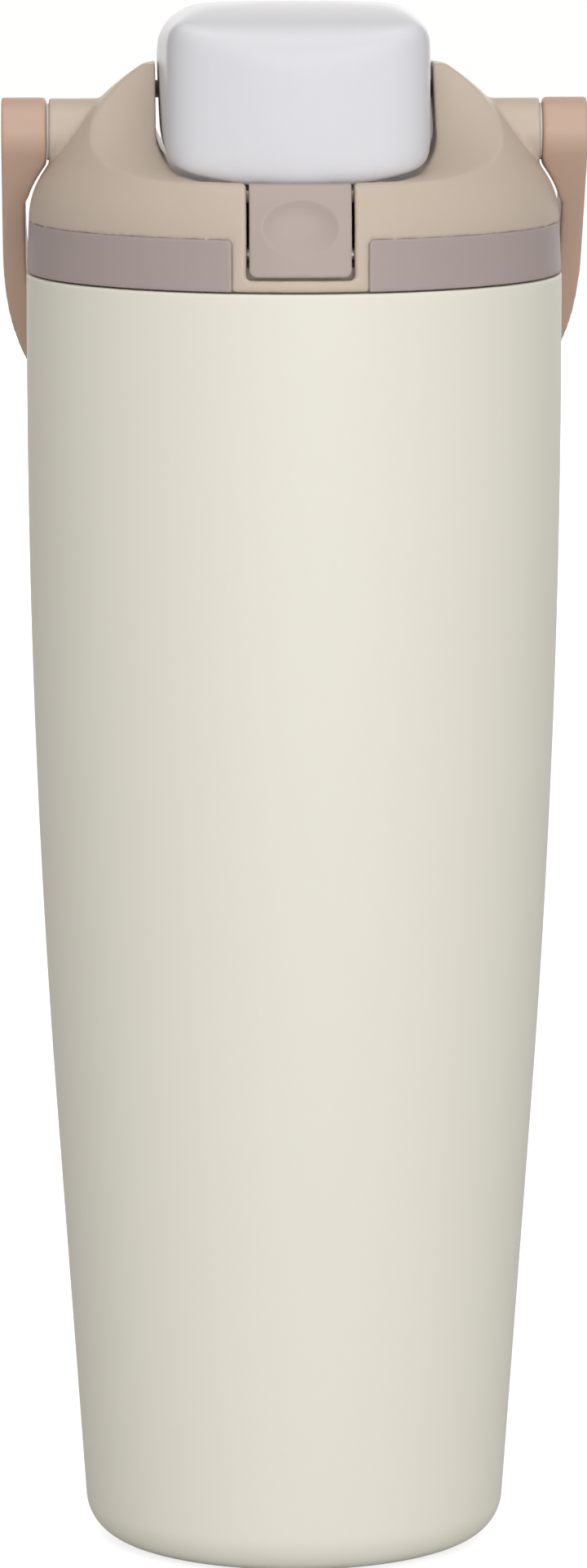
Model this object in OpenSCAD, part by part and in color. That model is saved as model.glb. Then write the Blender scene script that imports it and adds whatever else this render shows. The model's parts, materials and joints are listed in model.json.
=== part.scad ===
// Insulated drinking tumbler with a screw lid, a latched flip cap and a carry handle.
// The origin is the centre of the base. +Z is up, the button faces -Y and the handle hangs at +Y.

/* [Cup] */
// Height of the cup from the surface it stands on to its rim
cup_h = 217.8; // [180:0.1:265]
// Radius of the cup just under its rim
cup_r = 45.25; // [43:0.05:56]
// Length of the straight side under the rim
neck_h = 12.8; // [8:0.1:30]
// Radius of the long bow that draws the side in
bow_r = 1850; // [1500:10:3000]
// Height where the bow turns into the straight lower side
bow_foot_h = 75; // [60:1:90]
// Radius of the rounded edge of the base
base_edge_r = 7.2; // [5:0.1:9]
// Thickness of the outer steel shell
shell_t = 0.8; // [0.6:0.1:1]
// Width of the vacuum space between the two shells
vacuum_gap = 2.2; // [1.8:0.1:3]
// Thickness of the inner steel liner
liner_t = 0.8; // [0.6:0.1:1]
// Height of the liner's underside over the surface the cup stands on
liner_floor_h = 6; // [5:0.1:9]
// Radius of the disc that covers the base
base_cover_r = 26; // [15:0.5:26]

/* [Thread] */
// Rise of the lid for one turn
thread_pitch = 4; // [3.6:0.1:5]
// Height of one thread rib at its root
rib_h = 1.5; // [1:0.1:1.6]
// How far the ribs of the cup and of the lid reach past each other
rib_overlap = 0.45; // [0.3:0.05:0.6]

/* [Lid] */
// Gap that shows between the cup's rim and the lid
seam_gap = 0.3; // [0.2:0.05:0.6]
// Height of the lid over its lower edge
dome_h = 34.8; // [33:0.1:42]
// Wall of the lid
lid_wall = 2.15; // [1.8:0.05:2.6]
// Height of the grip band
band_h = 8.6; // [5:0.1:9]
// Thickness of the grip band
band_t = 1; // [0.6:0.1:1.2]
// Half of the gap between the ends of the grip band
band_end_x = 11.2; // [11.2:0.1:20]
// Radius of the scooped front of the lid
scoop_r = 55.8; // [50:0.1:60]
// How far the screw-in plug reaches below the lid's lower edge
plug_depth = 18; // [14:0.5:24]
// Bore of the drinking spout
spout_bore_r = 7.8; // [5:0.1:9]
// Wall of the drinking spout
spout_wall = 1.8; // [1.2:0.1:2.2]

/* [Cap] */
// Half of the cap's width
cap_half_w = 23.15; // [21:0.05:24]
// How much narrower the cap is at its front corners, on each side
cap_taper = 1.3; // [0:0.1:2]
// Length of the cap from front to back
cap_l = 54.8; // [50:0.1:58]
// Height of the cap's top over the lid's lower edge
cap_top_h = 46.1; // [43:0.1:52]
// Wall of the cap
cap_wall = 2; // [1.6:0.1:2.2]
// Gap between the cap and the slot it lies in
cap_gap = 0.7; // [0.5:0.05:1]

/* [Button] */
// Width of the button
button_w = 16.8; // [13:0.1:17.6]
// Gap at the sides of the button
button_gap = 0.45; // [0.4:0.05:0.8]
// Thickness of the button's face
button_t = 2; // [1.6:0.1:2.1]

/* [Handle] */
// Distance from the pivot to the inner face of the handle's far end
handle_reach = 75; // [60:0.1:90]
// Thickness of the handle's strap
strap_t = 3.9; // [2.5:0.1:5]
// Width of the handle's strap, which is also the diameter of its hubs
strap_w = 11.6; // [10:0.1:14]
// Radius of the handle's pivot pins
pivot_pin_r = 2.5; // [1.5:0.1:3]

/* [Hidden] */
$fn = 96;

// Small clearances
fit_gap = 0.02;         // pin held in its seat
running_gap = 0.05;     // pin that turns in its bore
body_gap = 0.4;         // between two bodies that pass each other
far = 500;              // reach of cuts that go right through

// Cup
wall_all = shell_t + vacuum_gap + liner_t;
bow_top_h = cup_h - neck_h;
bow_slope = (bow_top_h - bow_foot_h) / sqrt(bow_r * bow_r - pow(bow_top_h - bow_foot_h, 2));
side_angle = atan(bow_slope);
neck_r = cup_r - wall_all;
rim_round = 0.5;
cover_t = 0.8;
bead_r = 4;
bead_t = 1.4;

// Lid, with heights over its lower edge
lid_z = cup_h + seam_gap;
lid_r = cup_r - 0.1;
deck_h = 1.7;
deck_t = 2.2;
deck_r = lid_r - 2.85;
side_lean = 2.2;
side_h = 9.2;
shoulder_r = 14;
slope_r = 150;
crown_r = 42;
slope_start = 33.5;
slope_end = 37.5;
scoop_y = -lid_r + 4.65;
scoop_low_h = 17.4;
scoop_h = scoop_low_h + scoop_r;
lid_crest_r = neck_r - body_gap;
cup_crest_r = lid_crest_r - rib_overlap;
plug_r = cup_crest_r - 2 * body_gap;
plug_wall = 1.8;
rib_turns = 0.95;
cup_rib_h = cup_h - 11;
lid_rib_h = cup_rib_h - thread_pitch / 2;
vent_y = 26;
vent_r = 1.7;
ring_w = 1.2;
ring_t = 0.7;

// Cap
cap_front_y = -lid_r + 8.15;
cap_rear_y = cap_front_y + cap_l;
cap_low_h = 16.2;
belly_r = 73;
low_corner_r = 5.5;
top_corner_r = 9;
crest_r = 250;
front_r = 66;
plan_corner_r = 7.5;
hinge_y = cap_rear_y - 5.8;
hinge_h = 29.9;
hinge_pin_r = 1.5;
knuckle_r = 3.4;
knuckle_in_x = 10;
knuckle_out_x = cap_half_w - plan_corner_r + 1.4;
post_r = 4;
spout_y = cap_front_y + 29;
spout_r = spout_bore_r + spout_wall;
spout_top_h = 31.9;
tray_wall = 2;
slot_half_w = cap_half_w + cap_gap;

// Button and latch
pocket_half_w = button_w / 2 + button_gap;
pocket_low_h = 1.95;
button_low_h = pocket_low_h + 0.45;
button_pin_y = -lid_r + 3.55;
button_pin_h = 6.1;
button_pin_r = 1;
button_boss_r = 1.9;
ledge_low_h = 14.9;
ledge_gap = 1.4;
press_angle = 5;
// Back of the button's pocket, clear of the ledge's corners when the button is pressed
ledge_sag = front_r - sqrt(front_r * front_r - pocket_half_w * pocket_half_w);
ledge_travel = (scoop_low_h + 0.6 - button_pin_h) * sin(press_angle);
pocket_back_y = cap_front_y - ledge_gap + ledge_sag + ledge_travel + body_gap;
button_round = 1.2;
dimple_r = 39;
dimple_h = 13.1;
dimple_face = 0.4;      // how far the button's face lies inside the lid's radius there
dimple_deep = 0.95;
arm_x = 4.6;
arm_w = 1.8;
arm_low_h = 11.6;
arm_t = 1.5;
tab_y = cap_front_y + 2.6;
tab_t = 1.6;
tab_half_w = 4;
hook_reach = 1.2;
hook_h = 1.4;
bar_y = tab_y + tab_t + hook_reach + 0.2;
post_y = tab_y - 2.6;
spring_h = 10.5;

// Handle
pivot_h = 23.4;
boss_x = lid_r - 3.8;
boss_r = strap_w / 2 - 0.15;
boss_in_x = boss_x - 11.35;
hub_in_x = boss_x + body_gap;
loop_half_w = lid_r + 0.3;
hub_out_x = loop_half_w + strap_t;
flare_s = strap_w / 2 + 5.7;
bow_s = flare_s + 10.5;
loop_power = 2.5;
rest_gap = 0.35;
handle_tilt = asin((cup_r + rest_gap) / norm([handle_reach, strap_w / 2]))
    + atan(strap_w / 2 / handle_reach);

// Points along an arc round c, from angle a to angle b
function arc(c, r, a, b, n) = [for (i = [0:n]) let (t = a + (b - a) * i / n) c + r * [cos(t), sin(t)]];
function flip(pts) = [for (i = [len(pts) - 1:-1:0]) [-pts[i][0], pts[i][1]]];

// Outer radius of the cup at height z
function bow_drop(z) = bow_r - sqrt(bow_r * bow_r - pow(bow_top_h - z, 2));
function side_r(z) = z > bow_top_h ? cup_r
    : z > bow_foot_h ? cup_r - bow_drop(z)
    : cup_r - bow_drop(bow_foot_h) - bow_slope * (bow_foot_h - z);

// Half section of the cup's inside or outside, t inside its outer face
function vessel(t, floor_h, edge_r, top_h) = concat(
    [[0, floor_h]],
    arc([side_r(floor_h + edge_r) - (t + edge_r) / cos(side_angle), floor_h + edge_r],
        edge_r, -90, -side_angle, 8),
    [for (i = [0:12]) let (z = bow_foot_h + (bow_top_h - bow_foot_h) * i / 12) [side_r(z) - t, z]],
    [[cup_r - t, top_h], [0, top_h]]);

// Half section of the lid, w inside its outer face, with its lowest edge at low_h
function corner(p, r, a) = p - r * [cos(a), sin(a)];
side_end = [lid_r - side_h * tan(side_lean), side_h];
shoulder_c = corner(side_end, shoulder_r, side_lean);
slope_c = corner(shoulder_c + shoulder_r * [cos(slope_start), sin(slope_start)], slope_r, slope_start);
crown_c = corner(slope_c + slope_r * [cos(slope_end), sin(slope_end)], crown_r, slope_end);
function crown_end(w) = asin(min(1, (dome_h - w - crown_c[1]) / (crown_r - w)));
function dome(w, low_h) = concat(
    [[0, low_h], [lid_r - w - low_h * tan(side_lean), low_h]],
    arc(shoulder_c, shoulder_r - w, side_lean, slope_start, 8),
    arc(slope_c, slope_r - w, slope_start, slope_end, 3),
    arc(crown_c, crown_r - w, slope_end, crown_end(w), 8),
    [[0, dome_h - w]]);

// Half outline of the cap as seen from the front, grown by g
low_c = [0, cap_low_h + belly_r];
low_x = cap_half_w - 0.45 - low_corner_r;
low_corner = [low_x, low_c[1] - sqrt(pow(belly_r - low_corner_r, 2) - low_x * low_x)];
top_c = [0, cap_top_h - crest_r];
top_x = cap_half_w - top_corner_r;
top_corner = [top_x, top_c[1] + sqrt(pow(crest_r - top_corner_r, 2) - top_x * top_x)];
low_tangent = atan2(low_corner[1] - low_c[1], low_x);
top_tangent = atan2(top_corner[1] - top_c[1], top_x);
function low_half(g) = concat(
    arc(low_c, belly_r + g, -90, low_tangent, 6), arc(low_corner, low_corner_r + g, low_tangent, 0, 7));
function cap_half(g) = concat(
    low_half(g),
    arc(top_corner, top_corner_r + g, 0, top_tangent, 9),
    arc(top_c, crest_r + g, top_tangent, 90, 5));

// Slot outline: the cap's lower outline, open upwards
function slot_half(g) = concat(low_half(g), [[cap_half_w + g, top_corner[1]], [cap_half_w + g, far]]);

// Cap seen from above: bowed front, rounded corners, sides that draw in towards the front
front_c = [0, cap_front_y + front_r];
corner_x = cap_half_w - cap_taper - plan_corner_r;
side_turn = -atan(cap_taper / (cap_l - 2 * plan_corner_r));
front_corner = [corner_x, front_c[1] - sqrt(pow(front_r - plan_corner_r, 2) - corner_x * corner_x)];
front_tangent = atan2(front_corner[1] - front_c[1], corner_x);
function plan_half(g, rear) = concat(
    arc(front_c, front_r + g, -90, front_tangent, 5),
    arc(front_corner, plan_corner_r + g, front_tangent, side_turn, 7), rear);
rear_corner_x = cap_half_w - plan_corner_r;
function rear_corner(g) =
    arc([rear_corner_x, cap_rear_y - plan_corner_r], plan_corner_r + g, side_turn, 90, 7);

// Cap seen from the side, drawn as [y, height]
lip_r = 7;
back_r = 9;
roof_drop = 5;
roof_y = cap_front_y + 22;
roof_l = cap_rear_y - back_r - roof_y;
function roof_fall(y) = roof_drop * pow((y - roof_y) / roof_l, 2);
lip_turn = 90 + atan(2 * roof_drop * (roof_y - cap_front_y - 0.7 * lip_r) / (roof_l * roof_l));
lip_end_y = cap_front_y + lip_r * (1 + cos(lip_turn));
lip_c = [cap_front_y + lip_r, cap_top_h - roof_fall(lip_end_y) - lip_r * sin(lip_turn)];
back_turn = 90 - atan(2 * roof_drop / roof_l);
function cap_side(g, low) = concat(
    [[cap_front_y - g, low]],
    arc(lip_c, lip_r + g, 180, lip_turn, 7),
    [for (i = [1:7]) let (y = lip_end_y + (cap_rear_y - back_r - lip_end_y) * i / 8)
        [y, cap_top_h + g - roof_fall(y)]],
    arc([cap_rear_y - back_r, cap_top_h - roof_drop - back_r], back_r + g, back_turn, 0, 6));

// Sweeps 2D shapes along an axis
module along_y(y0, y1) translate([0, y1, 0]) rotate([90, 0, 0]) linear_extrude(y1 - y0) children();
module along_x(x0, x1) translate([x0, 0, 0]) rotate([90, 0, 90]) linear_extrude(x1 - x0) children();
module outline(half) polygon(concat(half, flip(half)));
module rod(x0, x1, y, h, r) translate([x0, y, h]) rotate([0, 90, 0]) cylinder(r = r, h = x1 - x0);
module on_lid() translate([0, 0, lid_z]) children();
module both_sides() {
    children();
    mirror([1, 0, 0]) children();
}

// One rib of a screw thread, from radius r0 at its root to r1 at its crest
module thread_rib(r0, r1, z0, turns) {
    steps = round(turns * 48);
    section = [[r0, -rib_h / 2], [r1, -rib_h / 4], [r1, rib_h / 4], [r0, rib_h / 2]];
    pts = [for (i = [0:steps]) let (a = 360 * turns * i / steps)
        each [for (p = section) [p[0] * cos(a), p[0] * sin(a), z0 + thread_pitch * a / 360 + p[1]]]];
    sweep(pts, steps, r1 > r0 ? [3, 2, 1, 0] : [0, 1, 2, 3]);
}

// A closed skin over rings of points; side gives the order round each ring
module sweep(pts, steps, side) {
    n = len(side);
    faces = concat(
        [side, [for (j = [n - 1:-1:0]) steps * n + side[j]]],
        [for (i = [0:steps - 1]) for (j = [0:n - 1])
            let (a = i * n + side[j], b = i * n + side[(j + 1) % n]) each [[a, a + n, b], [b, a + n, b + n]]]);
    polyhedron(pts, faces);
}

// A coil of wire along +Z
module coil(mean_r, wire_r, turns, length) {
    steps = round(turns * 16);
    pts = [for (i = [0:steps]) let (a = 360 * turns * i / steps)
        each [for (k = [0:5]) let (r = mean_r + wire_r * cos(60 * k))
            [r * cos(a), r * sin(a), length * i / steps + wire_r * sin(60 * k)]]];
    sweep(pts, steps, [5, 4, 3, 2, 1, 0]);
}

// ---- cup ----

module outer_shell() color("#e3e2d6") difference() {
    union() {
        rotate_extrude() difference() {
            polygon(concat([for (p = vessel(0, 0, base_edge_r, cup_h)) if (p[1] < cup_h) p],
                arc([cup_r - rim_round, cup_h - rim_round], rim_round, 0, 90, 4), [[0, cup_h]]));
            polygon(vessel(shell_t, shell_t + cover_t, base_edge_r - shell_t - cover_t / 2, cup_h - shell_t));
            translate([0, cup_h - 2 * shell_t]) square([cup_r - shell_t - vacuum_gap, 3 * shell_t]);
            square([base_cover_r, cover_t]);
        }
        translate([0, 0, shell_t + cover_t]) cylinder(r = bead_r + shell_t, h = bead_t);
    }
    // Dimple that the seal bead fills
    translate([0, 0, -1]) cylinder(r = bead_r, h = cover_t + bead_t + 1);
}

module inner_liner() color("#c9ccd0") {
    outside = shell_t + vacuum_gap;
    edge = 8;
    rotate_extrude() difference() {
        polygon(vessel(outside, liner_floor_h, edge, cup_h));
        polygon(vessel(wall_all, liner_floor_h + liner_t, edge, cup_h + 1));
    }
    thread_rib(neck_r + liner_t / 2, cup_crest_r, cup_rib_h, rib_turns);
}

module base_cover() color("#b9bcc0") cylinder(r = base_cover_r - 0.1, h = cover_t);

module vacuum_seal_bead() color("#5b5650")
    translate([0, 0, cover_t + 0.1]) cylinder(r = bead_r - 0.1, h = bead_t - 0.1);

module getter_pill() color("#8d8f92")
    translate([14, 0, shell_t + cover_t]) cylinder(r = 4, h = 2);

// ---- lid ----

module lid_gasket() color("#ded8cf") rotate_extrude()
    translate([neck_r - 0.55, cup_h]) square([deck_r - neck_r + 0.45, seam_gap + deck_h]);

module dome_solid(w = 0, low_h = 0) rotate_extrude() polygon(dome(w, low_h));
module scoop(g = 0) rod(-far, far, scoop_y, scoop_h, scoop_r + g);

// Room for the cap and everything behind it, grown by g
module cap_slot(g = 0) intersection() {
    along_y(-far, far) outline(slot_half(cap_gap + g));
    linear_extrude(far) outline(plan_half(cap_gap + g,
        [[slot_half_w + 9, cap_front_y + 12], [slot_half_w + 9, far]]));
}

module front_band_gap() along_y(-far, 0) {
    square([2 * band_end_x, 2 * far], center = true);
    both_sides() translate([band_end_x, band_h - 1]) difference() {
        square(1);
        translate([1, 0]) circle(r = 1);
    }
}

module band_ring() difference() {
    dome_solid();
    dome_solid(band_t, -1);
    translate([0, 0, band_h]) cylinder(r = far, h = far);
    front_band_gap();
}

module button_pocket() translate([-pocket_half_w, -far, pocket_low_h])
    cube([2 * pocket_half_w, far + pocket_back_y, far]);

module lid_shell() color("#d9cdbf") on_lid() difference() {
    union() {
        dome_solid();
        rod(-boss_x, boss_x, 0, pivot_h, boss_r);
    }
    // Hollow of the lid, under the tray and beside the slot
    difference() {
        dome_solid(lid_wall, -1);
        cap_slot(tray_wall);
        scoop(tray_wall);
        both_sides() rod(boss_in_x, boss_x, 0, pivot_h, boss_r);
        both_sides() rod(pocket_half_w, pocket_half_w + 2.5, button_pin_y, button_pin_h, 2.2);
        weld_seat();
    }
    scoop();
    cap_slot();
    button_pocket();
    band_ring();
    both_sides() rod(boss_in_x - 1, boss_x + 1, 0, pivot_h, pivot_pin_r + running_gap);
    rod(-slot_half_w - tray_wall - 1, slot_half_w + tray_wall + 1, hinge_y, hinge_h, hinge_pin_r + fit_gap);
    rod(-pocket_half_w - 1.7, pocket_half_w + 1.7, button_pin_y, button_pin_h, button_pin_r + fit_gap);
    translate([0, spout_y, 0]) cylinder(r = spout_r + 0.2, h = cap_low_h + 3);
    latch_hole();
}

// Seat that the plug's deck is welded to
module weld_seat() translate([0, 0, deck_h + deck_t]) difference() {
    cylinder(r = lid_r, h = 1.2);
    translate([0, 0, -1]) cylinder(r = deck_r - 1.2, h = 4);
}

// Hole in the tray that the cap's latch tab drops through
module latch_hole() translate([-tab_half_w - body_gap, tab_y - 2.9, cap_low_h - tray_wall - 2])
    cube([2 * (tab_half_w + body_gap), tab_t + hook_reach + 3.3, tray_wall + 3]);

module grip_band() color("#b5a9a6") on_lid() band_ring();

module lid_plug() color("#cfc6bb") on_lid() {
    difference() {
        union() {
            translate([0, 0, deck_h]) cylinder(r = deck_r, h = deck_t);
            translate([0, 0, -plug_depth]) cylinder(r = plug_r, h = plug_depth + deck_h + 0.1);
        }
        translate([0, 0, -plug_depth - 1]) cylinder(r = plug_r - plug_wall, h = plug_depth + deck_h + 1);
        translate([0, spout_y, 0]) cylinder(r = spout_bore_r, h = 9);
        translate([0, vent_y, 0]) cylinder(r = vent_r, h = 9);
    }
    thread_rib(plug_r - plug_wall / 2, lid_crest_r, lid_rib_h - lid_z, rib_turns);
    // Seat for the button's spring
    translate([-2.6, post_y - 1, deck_h + deck_t]) cube([5.2, 1, spring_h + 2 - deck_h - deck_t]);
}

module spout() color("#cfc6bb") on_lid() translate([0, spout_y, deck_h + deck_t]) difference() {
    lip = spout_top_h - deck_h - deck_t;
    rotate_extrude() polygon(concat(
        [[spout_bore_r, 0], [spout_r + 2.4, 0], [spout_r + 2.4, 1.6], [spout_r, 1.6], [spout_r, lip - 0.7]],
        arc([spout_r - 0.7, lip - 0.7], 0.7, 0, 90, 4), [[spout_bore_r, lip]]));
    ring_seal(0);
}

// Ring in a groove under the spout's flange, c smaller than the groove
module ring_seal(c) difference() {
    cylinder(r = spout_r + 0.4 + ring_w - c, h = ring_t - c);
    translate([0, 0, -1]) cylinder(r = spout_r + 0.4 + c, h = 3);
}

module spout_seal() color("#e6e1d8") on_lid() translate([0, spout_y, deck_h + deck_t]) ring_seal(fit_gap);

module vent_valve() color("#e6e1d8") on_lid() translate([0, vent_y, 0]) rotate_extrude() polygon([
    [0, deck_h - 2.2], [1, deck_h - 2.2], [2.4, deck_h - 0.4], [2.4, deck_h], [vent_r, deck_h],
    [vent_r, deck_h + deck_t], [3.6, deck_h + deck_t], [3.2, deck_h + deck_t + 1.2],
    [0, deck_h + deck_t + 1.4]]);

module cap_hinge_pin() color("#a9adb3") on_lid()
    rod(-slot_half_w - tray_wall, slot_half_w + tray_wall, hinge_y, hinge_h, hinge_pin_r);

module cap_spring() color("#9ea2a8") on_lid()
    translate([-7.5, hinge_y, hinge_h]) rotate([0, 90, 0]) coil(hinge_pin_r + 0.9, 0.45, 9, 15);

module button_pin() color("#a9adb3") on_lid()
    rod(-pocket_half_w - 1.6, pocket_half_w + 1.6, button_pin_y, button_pin_h, button_pin_r);

module button_spring() color("#9ea2a8") on_lid() {
    back_y = -lid_r + button_t + 0.75;
    translate([0, post_y - 1.4, spring_h]) rotate([90, 0, 0]) coil(1.7, 0.35, 4, post_y - 1.8 - back_y);
}

module pivot_washer(side) color("#e6e1d8") on_lid() mirror([side < 0 ? 1 : 0, 0, 0]) difference() {
    rod(boss_x, boss_x + body_gap - running_gap, 0, pivot_h, boss_r - 0.9);
    rod(boss_x - 1, boss_x + 1, 0, pivot_h, pivot_pin_r + running_gap);
}
module pivot_washer_left() pivot_washer(-1);
module pivot_washer_right() pivot_washer(1);

// ---- cap ----

module cap_solid(g, low) intersection() {
    along_y(-far, far) union() {
        outline(cap_half(g));
        if (g < 0) translate([-cap_half_w + 2.6, -far]) square([2 * cap_half_w - 5.2, far + low_corner[1]]);
    }
    translate([0, 0, -far]) linear_extrude(2 * far) outline(plan_half(g, rear_corner(g)));
    along_x(-far, far) polygon(concat(cap_side(g, low), low > 0
        ? [[cap_rear_y + g, hinge_h - knuckle_r], [hinge_y - 4, hinge_h - knuckle_r],
            [hinge_y - 16, low], [cap_front_y, low]]
        : [[cap_rear_y + g, low], [cap_front_y, low]]));
}

module cap_shell() color("#dddee2") on_lid() difference() {
    cap_solid(0, cap_low_h - 1);
    cap_solid(-cap_wall, -1);
    rod(-far, far, hinge_y, hinge_h, hinge_pin_r + body_gap);
}

// Insert that carries the seal, the hinge knuckles and the latch tab
module cap_liner() color("#cfd0d3") on_lid() {
    plate_h = spout_top_h + 2.2;
    clear = 0.1;
    inner = cap_wall + clear;
    intersection() {
        cap_solid(-inner, -1);
        union() {
            translate([-far, -far, plate_h]) cube([2 * far, far + hinge_y + 3, 2]);
            translate([-11, cap_front_y, cap_low_h + 1]) cube([22, inner + 1.4, plate_h - cap_low_h]);
        }
    }
    translate([0, spout_y, plate_h])
        cylinder(r = post_r, h = cap_top_h - roof_fall(spout_y + post_r) - inner - 0.1 - plate_h);
    translate([-tab_half_w, tab_y, cap_low_h - 6.3]) cube([2 * tab_half_w, tab_t, plate_h - cap_low_h + 7]);
    translate([-tab_half_w, tab_y, cap_low_h - 6.3]) cube([2 * tab_half_w, tab_t + hook_reach, hook_h]);
    both_sides() difference() {
        union() {
            rod(knuckle_in_x, knuckle_out_x, hinge_y, hinge_h, knuckle_r);
            translate([knuckle_in_x, hinge_y - 2.2, hinge_h])
                cube([knuckle_out_x - knuckle_in_x, 4.4, plate_h + 0.5 - hinge_h]);
        }
        rod(knuckle_in_x - 1, knuckle_out_x + 1, hinge_y, hinge_h, hinge_pin_r + running_gap);
    }
}

module cap_seal() color("#f0efeb") on_lid() translate([0, spout_y, spout_top_h + running_gap])
    rotate_extrude() polygon([[0, -1.6], [spout_bore_r - 2, -1.6], [spout_bore_r - 1, 0],
        [spout_r + 0.8, 0], [spout_r + 0.8, 2.1], [0, 2.1]]);

// ---- button ----

// Face that follows the lid's surface, with a shallow dimple for the thumb
module latch_button() color("#b8aba3") on_lid() {
    half_w = button_w / 2;
    difference() {
        union() {
            button_face(half_w);
            rod(-half_w, half_w, button_pin_y, button_pin_h, button_boss_r);
        }
        rod(-far, far, button_pin_y, button_pin_h, button_pin_r + running_gap);
    }
    // Arm round the latch tab, with the bar that holds the hook
    arm_y = -lid_r + 2;
    both_sides() translate([arm_x, arm_y, arm_low_h]) cube([arm_w, bar_y - arm_y + 0.1, arm_t]);
    translate([-arm_x - arm_w, bar_y, arm_low_h]) cube([2 * (arm_x + arm_w), 1.5, arm_t]);
}

module button_face(half_w) difference() {
    intersection() {
        difference() {
            dome_solid();
            difference() {
                dome_solid(button_t, -1);
                translate([-half_w, -far, ledge_low_h]) cube([2 * half_w, far, far]);
            }
            scoop();
        }
        along_y(-far, 0) difference() {
            translate([-half_w, button_low_h]) square([button_w, far]);
            both_sides() translate([half_w - button_round, button_low_h]) difference() {
                translate([0, -1]) square([button_round + 1, button_round + 1]);
                translate([0, button_round]) circle(r = button_round);
            }
        }
        translate([-half_w, -lid_r - 5, 0]) cube([button_w, lid_r + 5 + cap_front_y + 3, far]);
    }
    linear_extrude(far) outline(plan_half(ledge_gap, [[far, cap_front_y + 20], [far, far]]));
    translate([0, -lid_r + dimple_face + dimple_deep - dimple_r, dimple_h]) sphere(r = dimple_r, $fn = 128);
}

// ---- handle ----

function loop_curve(a, b, n) = [for (i = [0:n]) let (t = 90 * i / n)
    [a * pow(cos(t), 2 / loop_power), bow_s + b * pow(sin(t), 2 / loop_power)]];

module in_handle_plane() on_lid() translate([0, 0, pivot_h]) rotate([handle_tilt - 90, 0, 0]) children();

module handle_loop() color("#cbaa98") difference() {
    union() {
        in_handle_plane() both_sides() rod(hub_in_x, hub_out_x, 0, 0, strap_w / 2);
        in_handle_plane() linear_extrude(strap_w, center = true) difference() {
            outline(concat([[hub_out_x, 0]], loop_curve(hub_out_x, handle_reach + strap_t - bow_s, 18)));
            outline(concat([[hub_in_x, -1], [hub_in_x, strap_w / 2], [loop_half_w, flare_s]],
                loop_curve(loop_half_w, handle_reach - bow_s, 18)));
        }
    }
    on_lid() both_sides() rod(hub_in_x - 1, hub_in_x + 4.9, 0, pivot_h, pivot_pin_r + fit_gap);
    on_lid() both_sides() shoulder_dish();
}

// Room for the lid's shoulder round the pivot, whatever way the handle points
module shoulder_dish() {
    turned = [for (p = dome(0, 0)) if (p[1] > side_h - 1 && p[1] < pivot_h - boss_r + 1)
        [pivot_h - p[1], p[0] + body_gap]];
    low = turned[len(turned) - 1];
    translate([0, 0, pivot_h]) rotate([0, 90, 0])
        rotate_extrude() polygon(concat([[0, 0], [turned[0][0], 0]], turned, [[0, low[1]]]));
}

module handle_pin(side) color("#a9adb3") on_lid() mirror([side < 0 ? 1 : 0, 0, 0]) {
    rod(boss_in_x - 0.3, hub_in_x + 4.8, 0, pivot_h, pivot_pin_r);
    rod(boss_in_x - 1.5, boss_in_x - 0.2, 0, pivot_h, pivot_pin_r + 1.5);
}
module handle_pin_left() handle_pin(-1);
module handle_pin_right() handle_pin(1);

outer_shell();
inner_liner();
base_cover();
vacuum_seal_bead();
getter_pill();
lid_gasket();
lid_shell();
grip_band();
lid_plug();
spout();
spout_seal();
vent_valve();
cap_hinge_pin();
cap_spring();
button_pin();
button_spring();
pivot_washer_left();
pivot_washer_right();
cap_shell();
cap_liner();
cap_seal();
latch_button();
handle_loop();
handle_pin_left();
handle_pin_right();
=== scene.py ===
import json
import math
import bmesh
import bpy
from mathutils import Matrix, Vector


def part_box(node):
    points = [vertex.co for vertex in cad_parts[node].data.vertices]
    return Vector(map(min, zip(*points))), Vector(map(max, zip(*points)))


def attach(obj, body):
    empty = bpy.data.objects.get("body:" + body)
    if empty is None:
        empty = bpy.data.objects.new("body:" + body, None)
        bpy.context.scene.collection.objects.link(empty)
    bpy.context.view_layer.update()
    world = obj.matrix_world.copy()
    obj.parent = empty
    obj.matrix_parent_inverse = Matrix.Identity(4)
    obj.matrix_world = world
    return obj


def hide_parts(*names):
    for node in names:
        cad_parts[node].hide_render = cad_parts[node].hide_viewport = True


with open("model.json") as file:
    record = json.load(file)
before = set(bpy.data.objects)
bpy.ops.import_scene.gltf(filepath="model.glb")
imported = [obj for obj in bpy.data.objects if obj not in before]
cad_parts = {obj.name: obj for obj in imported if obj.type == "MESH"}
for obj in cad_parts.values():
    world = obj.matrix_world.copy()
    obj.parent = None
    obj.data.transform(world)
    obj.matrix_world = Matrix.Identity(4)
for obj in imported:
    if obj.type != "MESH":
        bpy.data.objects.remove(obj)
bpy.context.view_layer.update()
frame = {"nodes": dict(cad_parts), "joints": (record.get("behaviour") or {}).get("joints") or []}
nodes = frame["nodes"]
print("frame loaded:", len(nodes), "nodes")

reach = 0.3  # how far cutters run past the object


def arcPoints(centre, radius, start, end, count):
    angles = [math.radians(start + (end - start) * i / count) for i in range(count + 1)]
    return [(centre[0] + radius * math.cos(a), centre[1] + radius * math.sin(a)) for a in angles]


def toPiece(name, bm):
    bmesh.ops.recalc_face_normals(bm, faces=bm.faces)
    mesh = bpy.data.meshes.new(name)
    bm.to_mesh(mesh)
    bm.free()
    obj = bpy.data.objects.new(name, mesh)
    bpy.context.scene.collection.objects.link(obj)
    return obj


def prism(outline, axis, low, high, name="tool"):
    # outline is (y, z) for axis x, (x, z) for axis y and (x, y) for axis z
    at = "xyz".index(axis)
    bm = bmesh.new()
    near, far = [[bm.verts.new((*p[:at], t, *p[at:])) for p in outline] for t in (low, high)]
    bm.faces.new(near)
    bm.faces.new(far)
    for i in range(len(outline)):
        bm.faces.new((near[i - 1], near[i], far[i], far[i - 1]))
    return toPiece(name, bm)


def block(low, high):
    corners = [(low[0], low[1]), (high[0], low[1]), (high[0], high[1]), (low[0], high[1])]
    return prism(corners, "z", low[2], high[2])


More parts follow.
